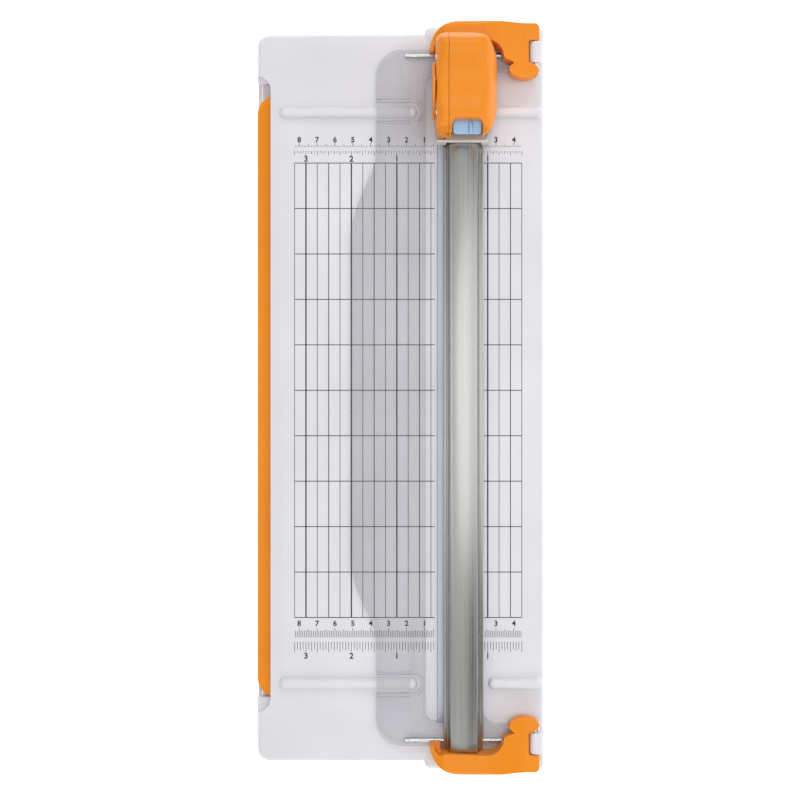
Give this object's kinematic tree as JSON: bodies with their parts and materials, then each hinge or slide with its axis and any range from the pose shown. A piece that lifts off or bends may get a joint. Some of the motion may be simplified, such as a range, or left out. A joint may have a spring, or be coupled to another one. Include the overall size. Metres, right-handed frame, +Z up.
{
  "type": "rotary paper trimmer",
  "caption": "Desktop rotary paper trimmer with a ruled base, swing-out ruler arm, lifting rail with clear guide, and a sliding press-down blade carriage.",
  "frame": {"origin": "middle of the footprint on the table, under the feet", "axes": "+Y along the cut towards the carriage's parked end, +X towards the rail's hinge side, +Z up"},
  "size_m": [0.1608, 0.4172, 0.0531],
  "materials": {
    "white_plastic": "satin moulded polystyrene, cool white",
    "orange_plastic": "soft-gloss moulded ABS, orange",
    "clear_plastic": "clear moulded plastic with a faint lavender tint",
    "rail_metal": "satin anodised extrusion with fine lengthwise grain",
    "steel": "bright zinc-plated steel",
    "blade_steel": "ground blade steel",
    "rubber": "matt black rubber",
    "strip_plastic": "satin translucent nylon, faintly blue",
    "blue_plastic": "soft-gloss moulded plastic, light blue",
    "taupe_plastic": "satin acetal, warm grey",
    "cream_plastic": "satin acetal, cream"
  },
  "bodies": {
    "base": {"base_shell": "white_plastic", "base_cover": "white_plastic", "cover_screws": "steel", "rubber_feet": "rubber", "cutting_strip": "strip_plastic", "hinge_pins": "steel", "arm_pivot_pin": "steel", "arm_washer": "rubber"},
    "arm": {"swing_arm": "orange_plastic"},
    "rail_frame": {"rail": "rail_metal", "clear_guide": "clear_plastic", "grip_strip": "rubber", "top_bracket": "orange_plastic", "bottom_bracket": "orange_plastic", "guide_rods": "steel", "bracket_screws": "steel"},
    "slider": {"slider_base": "taupe_plastic", "rail_wipers": "cream_plastic", "glide_pads": "cream_plastic", "press_springs": "steel"},
    "handle": {"handle_shell_left": "orange_plastic", "handle_shell_right": "orange_plastic", "handle_screws": "steel"},
    "lock": {"lock_tab": "blue_plastic"},
    "cartridge": {"blade_cap": "orange_plastic", "blade_axle": "steel", "blade_washer": "steel"},
    "blade": {"rotary_blade": "blade_steel"}
  },
  "joints": [
    {"name": "rail_lift", "type": "hinge", "parent": "base", "child": "rail_frame", "pos_m": [0.075, 0, 0.0205], "axis": [0, 1, 0], "range_deg": [0, 65]},
    {"name": "arm_swing", "type": "hinge", "parent": "base", "child": "arm", "pos_m": [-0.0694, -0.157, 0.007], "axis": [0, 0, 1], "range_deg": [0, 90]},
    {"name": "carriage_slide", "type": "slide", "parent": "rail_frame", "child": "slider", "axis": [0, 1, 0], "range_m": [-0.33, 0]},
    {"name": "handle_press", "type": "slide", "parent": "slider", "child": "handle", "axis": [0, 0, -1], "range_m": [0, 0.0025], "stiffness_N_per_m": 900, "springref_m": -0.0015, "deforming": ["press_springs"]},
    {"name": "lock_slide", "type": "slide", "parent": "handle", "child": "lock", "axis": [-1, 0, 0], "range_m": [0, 0.0035]},
    {"name": "cartridge_pull", "type": "slide", "parent": "handle", "child": "cartridge", "axis": [-1, 0, 0], "range_m": [0, 0.009]},
    {"name": "blade_spin", "type": "hinge", "parent": "cartridge", "child": "blade", "pos_m": [0.0233, 0.168, 0.03175], "axis": [1, 0, 0], "continuous": true}
  ]
}
